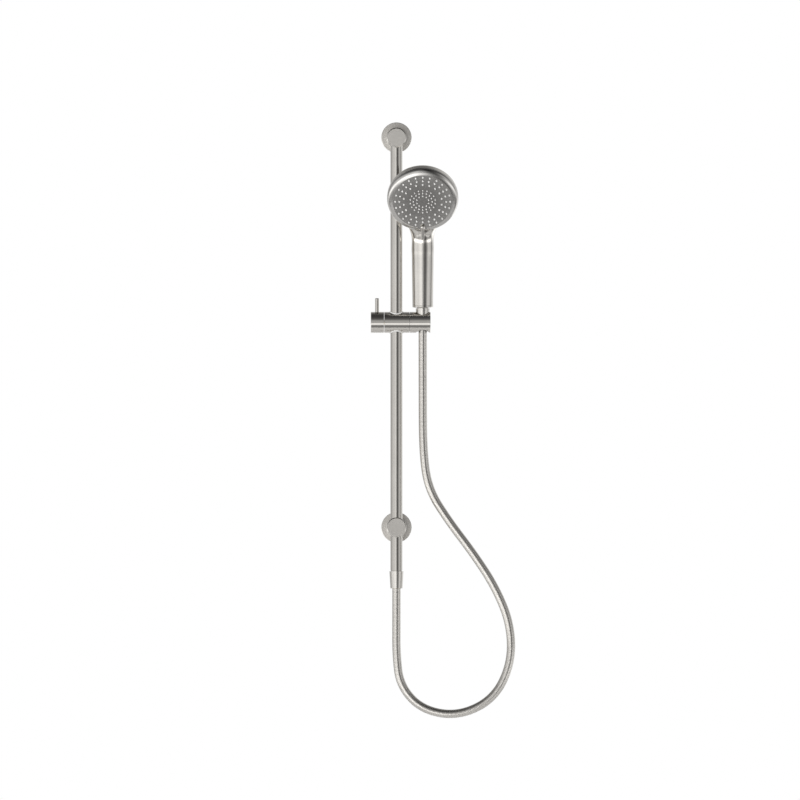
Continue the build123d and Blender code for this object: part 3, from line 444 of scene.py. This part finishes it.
def ribbed_tube(name, points, radius, pitch, depth, sides):
    """Hose skin with rounded ribs, capped at both ends."""
    length = line_length(points)
    ribs = max(1, round(length / pitch))
    stations = []
    for rib in range(ribs):
        for share, sunk in RIB_PROFILE:
            stations.append(((rib + share) * length / ribs, radius - sunk * depth))
    stations.append((length, radius - depth))
    verts, faces = [], []
    side_way = Vector((0.0, 1.0, 0.0))
    centres = walk(points, [distance for distance, _ in stations])
    for (centre, way), (_, ring_radius) in zip(centres, stations):
        up_way = way.cross(side_way).normalized()
        for step in range(sides):
            turn = 2.0 * pi * step / sides
            verts.append(centre + (side_way * cos(turn) + up_way * sin(turn)) * ring_radius)
    for ring in range(len(stations) - 1):
        for step in range(sides):
            a = ring * sides + step
            b = ring * sides + (step + 1) % sides
            faces.append((a, b, b + sides, a + sides))
    faces.append(tuple(range(sides - 1, -1, -1)))
    last = (len(stations) - 1) * sides
    faces.append(tuple(range(last, last + sides)))
    mesh = bpy.data.meshes.new(name)
    mesh.from_pydata(verts, [], faces)
    mesh.update()
    for polygon in mesh.polygons:
        polygon.use_smooth = len(polygon.vertices) == 4
    hose = bpy.data.objects.new(name, mesh)
    bpy.context.collection.objects.link(hose)
    return hose


def hose_skin(name, colour):
    """Metallic skin of the hose, with painted shade darkening its grooves, which are also rougher."""
    material, board = new_finish(name)
    place = board.place()
    cloud = board.noise(place, 40.0, 3.0, 0.5)
    fine = board.noise(place, 900.0, 2.0, 0.6)
    # Painted shade: the hose's colour is darkened in the grooves between its ribs, where shade falls; the
    # same mask makes the grooves rougher.
    groove_shade_mask = board.ramp(board.add("ShaderNodeNewGeometry", output="Pointiness"), (0.44, 1.0), (0.5, 0.0))
    light = board.mix(cloud, shaded(colour, 0.95), shaded(colour, 1.05))
    board.surface(
        Base_Color=board.mix(groove_shade_mask * 0.6, light, shaded(colour, 0.45)),
        Metallic=1.0,
        Roughness=0.26 + (fine - 0.5) * 0.12 + (cloud - 0.5) * 0.08 + groove_shade_mask * 0.15,
        Normal=board.bump(fine, GRAIN_HEIGHT, 0.4),
    )
    return material


# ---------------------------------------------------------------- settings
class ShowerFinish(bpy.types.PropertyGroup):
    """Colours and grain of the shower's finishes."""

    nickel: bpy.props.FloatVectorProperty(
        name="Nickel",
        description="Colour of the brushed nickel plate",
        default=(0.70, 0.675, 0.635),
        subtype="COLOR",
        min=0.0,
        max=1.0,
    )
    face: bpy.props.FloatVectorProperty(
        name="Spray Face",
        description="Colour of the spray face's satin plate",
        default=(0.42, 0.41, 0.395),
        subtype="COLOR",
        min=0.0,
        max=1.0,
    )
    nozzle: bpy.props.FloatVectorProperty(
        name="Nozzles",
        description="Colour of the soft nozzles",
        default=(0.84, 0.83, 0.81),
        subtype="COLOR",
        min=0.0,
        max=1.0,
    )
    grain_depth: bpy.props.FloatProperty(
        name="Grain Depth",
        description="Depth of the brush lines, where 1 is a usual satin finish",
        default=1.0,
        min=0.0,
        max=4.0,
        subtype="FACTOR",
    )


class ShowerHose(bpy.types.PropertyGroup):
    """Sizes of the hose's skin."""

    radius: bpy.props.FloatProperty(
        name="Radius", description="Outside radius of the hose", default=0.007, unit="LENGTH"
    )
    pitch: bpy.props.FloatProperty(
        name="Rib Pitch", description="Distance from one rib to the next", default=0.0022, unit="LENGTH"
    )
    depth: bpy.props.FloatProperty(
        name="Rib Depth", description="Depth of the groove between ribs", default=0.00014, unit="LENGTH"
    )
    sides: bpy.props.IntProperty(name="Sides", description="Faces round the hose", default=24, min=8)


class ShowerStudio(bpy.types.PropertyGroup):
    """Floor, lights and camera."""

    floor: bpy.props.FloatVectorProperty(
        name="Floor", description="Colour of the floor", default=(0.86, 0.86, 0.86), subtype="COLOR"
    )
    floor_height: bpy.props.FloatProperty(
        name="Floor Height", description="Height of the floor", default=-0.62, unit="LENGTH"
    )
    view_side: bpy.props.FloatProperty(
        name="View Size",
        description="Side of the square that the camera sees",
        default=1.334,
        unit="LENGTH",
    )
    overhead_power: bpy.props.FloatProperty(
        name="Overhead Power",
        description="Power of the light over the floor",
        default=45.0,
        unit="POWER",
    )
    key_power: bpy.props.FloatProperty(
        name="Key Power", description="Power of the large soft light", default=30.0, unit="POWER"
    )


def put_finish(material, *nodes):
    """Give CAD pieces a finish."""
    for name in nodes:
        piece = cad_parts.get(name)
        if piece is None:
            raise RuntimeError(f"no piece called {name}")
        if not piece.material_slots:
            piece.data.materials.append(material)
        for slot in piece.material_slots:
            slot.material = material


# ---------------------------------------------------------------- operators
class SHOWER_OT_rail(bpy.types.Operator):
    """Finish the rail, its brackets, roses and front caps"""

    bl_idname = "shower.rail"
    bl_label = "Rail and Brackets"

    def execute(self, context):
        nickel = tuple(context.scene.shower_finish.nickel)
        upright = brushed_metal("rail_nickel", nickel, by_z, by_x, polish=0.15)
        put_finish(upright, "rail_tube")
        outward = brushed_metal("boss_nickel", nickel, by_y, by_z)
        put_finish(outward, "lower_bracket", "upper_bracket")
        cap = brushed_metal("cap_nickel", nickel, by_z, by_x, fineness=0.8, polish=0.3)
        put_finish(cap, "lower_front_cap", "upper_front_cap")
        for side, height in (("lower", 0.0), ("upper", UPPER_BRACKET_Z)):
            rose = turned_metal(f"{side}_rose_nickel", nickel, (0.0, 0.0, height), polish=0.28)
            put_finish(rose, f"{side}_rose")
        return {"FINISHED"}


class SHOWER_OT_slider(bpy.types.Operator):
    """Finish the slider, its lock, the holder and their bushes"""

    bl_idname = "shower.slider"
    bl_label = "Slider and Holder"

    def execute(self, context):
        nickel = tuple(context.scene.shower_finish.nickel)
        sideways = brushed_metal("slider_nickel", nickel, by_x, by_z, polish=0.1)
        put_finish(sideways, "slider_body", "lock_knob", "holder_body")
        knob_end = brushed_metal(
            "knob_end_nickel",
            nickel,
            across=lambda x, y, z: (y * y + z * z) ** 0.5,
            along=by_x,
            centre=(0.0, RAIL_Y, SLIDER_Z),
            polish=0.26,
        )
        put_finish(knob_end, "lock_cap")
        lever = brushed_metal("lever_nickel", nickel, by_z, by_x, polish=0.2)
        put_finish(lever, "lock_lever")
        bush = moulded("pale_bush", (0.78, 0.775, 0.76), 0.3, speckle=0.03)
        put_finish(bush, "lower_rail_bush", "upper_rail_bush")
        liner = moulded("dark_liner", (0.045, 0.045, 0.047), 0.5)
        put_finish(liner, "holder_liner")
        return {"FINISHED"}


class SHOWER_OT_handset(bpy.types.Operator):
    """Finish the handset, its spray face and its nozzles"""

    bl_idname = "shower.handset"
    bl_label = "Handset"

    def execute(self, context):
        settings = context.scene.shower_finish
        nickel = tuple(settings.nickel)
        shell = brushed_metal("shell_nickel", nickel, by_z, by_x, fineness=1.1, polish=0.16)
        put_finish(shell, "handset_shell")
        pale = shaded(nickel, 1.28)
        cover = brushed_metal("cover_nickel", pale, by_z, by_x, fineness=1.1, polish=0.16)
        put_finish(cover, "handle_cover")
        put_finish(spray_face_metal("face_nickel", tuple(settings.face)), "face_plate")
        lever = brushed_metal("selector_nickel", nickel, by_z, by_x, polish=0.18)
        put_finish(lever, "selector_lever")
        nozzles = moulded("nozzle_rubber", tuple(settings.nozzle), 0.45, speckle=0.02)
        put_finish(nozzles, "nozzle_mat")
        return {"FINISHED"}


class SHOWER_OT_fittings(bpy.types.Operator):
    """Finish the hose nuts, seals, screws and the pieces inside"""

    bl_idname = "shower.fittings"
    bl_label = "Nuts and Inner Pieces"

    def execute(self, context):
        nickel = tuple(context.scene.shower_finish.nickel)
        nut = brushed_metal("nut_nickel", nickel, by_z, by_x, polish=0.2)
        put_finish(nut, "lower_hose_nut", "upper_hose_nut")
        collar = plain_metal("collar_brass", (0.60, 0.58, 0.54), 0.3)
        put_finish(collar, "outlet_spigot", "inlet_spigot")
        brass = plain_metal("bare_brass", (0.78, 0.58, 0.27), 0.3)
        put_finish(brass, "rail_plug", "clamp_spindle", "lower_hose_ferrule", "upper_hose_ferrule")
        steel = plain_metal("plain_steel", (0.56, 0.56, 0.55), 0.32)
        put_finish(steel, "wall_plate", "stud_screw", "lower_grub_screw", "upper_grub_screw")
        put_finish(steel, "pivot_bolt", "spring_washer", "spindle_clip")
        put_finish(steel, "detent_ball", "detent_spring", "centre_screw")
        rubber = moulded("seal_rubber", (0.03, 0.03, 0.03), 0.6, depth=0.00002)
        put_finish(rubber, "plug_seal", "spigot_seal", "rail_seals", "valve_seal")
        put_finish(rubber, "lower_hose_washer", "upper_hose_washer")
        acetal = moulded("pale_acetal", (0.70, 0.70, 0.67), 0.4)
        put_finish(acetal, "check_valve", "valve_body", "distributor", "friction_washer")
        put_finish(acetal, "clamp_pad", "water_tube")
        return {"FINISHED"}


class SHOWER_OT_hose(bpy.types.Operator):
    """Make the ribbed hose from the handset's nut to the rail's foot"""

    bl_idname = "shower.hose"
    bl_label = "Hose"

    def execute(self, context):
        sizes = context.scene.shower_hose
        skin = hose_skin("hose_skin", tuple(context.scene.shower_finish.nickel))
        upper, middle, loop = cut_line(hose_line(), HOSE_PARTINGS)
        lowest = min(range(len(loop)), key=lambda index: loop[index].z)
        rise, back = loop[: lowest + 1], loop[lowest:]
        lengths = {}
        for name, points in (
            ("hose_at_handset", upper),
            ("hose_under_holder", middle),
            ("hose_rise", rise),
            ("hose_return", back),
        ):
            hose = ribbed_tube(name, points, sizes.radius, sizes.pitch, sizes.depth, sizes.sides)
            hose.data.materials.append(skin)
            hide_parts("hose_tube")
            line_length(points)
            lengths[name] = hose
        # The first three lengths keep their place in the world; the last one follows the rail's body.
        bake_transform(lengths["hose_at_handset"])
        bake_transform(lengths["hose_under_holder"])
        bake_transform(lengths["hose_rise"])
        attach(lengths["hose_return"], "rail_set")
        return {"FINISHED"}


def studio_stops(shades, reach):
    """Ramp stops for shades that are given by degrees from -reach to reach."""
    return [((degrees + reach) / (2.0 * reach), shade / SHADE_SPAN) for degrees, shade in shades]


class SHOWER_OT_studio(bpy.types.Operator):
    """Set up the pale floor, the soft studio light and the camera"""

    bl_idname = "shower.studio"
    bl_label = "Studio"

    def execute(self, context):
        scene = context.scene
        studio = scene.shower_studio
        scene.view_settings.view_transform = "Standard"
        self.make_floor(studio)
        self.make_world(scene)
        self.make_lights(studio)
        camera = bpy.data.objects.new("camera", bpy.data.cameras.new("camera"))
        camera.data.type = "ORTHO"
        camera.data.ortho_scale = studio.view_side
        camera.data.clip_end = CAMERA_REACH
        camera.location = CAMERA_PLACE
        camera.rotation_euler = (pi / 2.0, 0.0, 0.0)
        scene.collection.objects.link(camera)
        scene.camera = camera
        return {"FINISHED"}

    def make_floor(self, studio):
        half, back, height = FLOOR_HALF_SIDE, FLOOR_SHIFT_BACK, studio.floor_height
        corners = [(x * half, y * half + back, height) for x, y in ((-1, -1), (1, -1), (1, 1), (-1, 1))]
        mesh = bpy.data.meshes.new("floor")
        mesh.from_pydata(corners, [], [(0, 1, 2, 3)])
        floor = bpy.data.objects.new("floor", mesh)
        bpy.context.collection.objects.link(floor)
        material, board = new_finish("floor_paper")
        place = board.place()
        mottle = board.noise(place, 3.0, 3.0, 0.5)
        tooth = board.noise(place, 400.0, 2.0, 0.5)
        pale = tuple(studio.floor)
        board.surface(
            Base_Color=board.mix(mottle, shaded(pale, 0.985), shaded(pale, 1.015)),
            Roughness=0.85 + (tooth - 0.5) * 0.1,
            Normal=board.bump(tooth, 0.0002, 0.2),
        )
        floor.data.materials.append(material)

    def make_world(self, scene):
        """White behind the object; what the metal reflects is a studio of soft boxes and dark cards."""
        world = bpy.data.worlds.new("studio")
        world.use_nodes = True
        scene.world = world
        board = Board(world.node_tree)
        way = board.add("ShaderNodeTexCoord", output="Generated")
        x, y, z = board.split(way)
        turn = x.maths("ARCTAN2", x, y * -1.0) / (2.0 * pi) + 0.5
        rise = x.maths("ARCSINE", z) / pi + 0.5
        round_shade = board.ramp(turn, *studio_stops(ROUND_SHADES, 180.0))
        rise_shade = board.ramp(rise, *studio_stops(RISE_SHADES, 90.0))
        rise_behind = board.ramp(rise, *studio_stops(BEHIND_SHADES, 90.0))
        behind = board.ramp(y, (0.0, 0.0), (BEHIND_WHOLE, 1.0))
        level = board.mix(behind, rise_shade, rise_behind)
        shade = board.add(
            "ShaderNodeMix",
            {"data_type": "RGBA", "blend_type": "MULTIPLY"},
            {0: 1.0, 6: round_shade, 7: level},
            output=2,
        )
        studio_light = board.add("ShaderNodeBackground", None, {"Color": shade, "Strength": SHADE_SPAN**2})
        white = board.add("ShaderNodeBackground", None, {"Color": (1.0, 1.0, 1.0, 1.0), "Strength": 1.0})
        seen = board.add("ShaderNodeLightPath", output="Is Camera Ray")
        mixed = board.add("ShaderNodeMixShader", None, {0: seen, 1: studio_light, 2: white})
        board.add("ShaderNodeOutputWorld", None, {"Surface": mixed})

    def make_light(self, name, size, power, place, aim):
        light = bpy.data.lights.new(name, "AREA")
        light.shape = "RECTANGLE"
        light.size, light.size_y = size
        light.energy = power
        lamp = bpy.data.objects.new(name, light)
        lamp.location = place
        lamp.rotation_euler = (Vector(aim) - lamp.location).to_track_quat("-Z", "Y").to_euler()
        bpy.context.scene.collection.objects.link(lamp)
        return lamp

    def make_lights(self, studio):
        key = self.make_light(
            "key",
            size=(0.9, 1.6),
            power=studio.key_power,
            place=(-1.0, -2.2, 0.2),
            aim=(0.04, -0.05, 0.25),
        )
        overhead = self.make_light(
            "overhead",
            size=(2.4, 2.4),
            power=studio.overhead_power,
            place=(0.0, 0.0, 2.4),
            aim=(0.0, 0.0, 0.0),
        )
        for lamp in (key, overhead):
            lamp.visible_glossy = False


class SHOWER_PT_panel(bpy.types.Panel):
    """Lists the shower's finishes, hose and studio"""

    bl_label = "Shower"
    bl_idname = "SHOWER_PT_panel"
    bl_space_type = "VIEW_3D"
    bl_region_type = "UI"
    bl_category = "Shower"

    def draw(self, context):
        for group in (context.scene.shower_finish, context.scene.shower_hose, context.scene.shower_studio):
            for name in group.__annotations__:
                self.layout.prop(group, name)
        for operator in OPERATORS:
            self.layout.operator(operator.bl_idname)


OPERATORS = (
    SHOWER_OT_rail,
    SHOWER_OT_slider,
    SHOWER_OT_handset,
    SHOWER_OT_fittings,
    SHOWER_OT_hose,
    SHOWER_OT_studio,
)
CLASSES = (ShowerFinish, ShowerHose, ShowerStudio, *OPERATORS, SHOWER_PT_panel)


def register():
    for kind in CLASSES:
        bpy.utils.register_class(kind)
    bpy.types.Scene.shower_finish = bpy.props.PointerProperty(type=ShowerFinish)
    bpy.types.Scene.shower_hose = bpy.props.PointerProperty(type=ShowerHose)
    bpy.types.Scene.shower_studio = bpy.props.PointerProperty(type=ShowerStudio)


def unregister():
    del bpy.types.Scene.shower_studio
    del bpy.types.Scene.shower_hose
    del bpy.types.Scene.shower_finish
    for kind in reversed(CLASSES):
        bpy.utils.unregister_class(kind)


def main():
    register()
    bpy.ops.shower.rail()
    bpy.ops.shower.slider()
    bpy.ops.shower.handset()
    bpy.ops.shower.fittings()
    bpy.ops.shower.hose()
    bpy.ops.shower.studio()


if __name__ == "__main__":
    main()
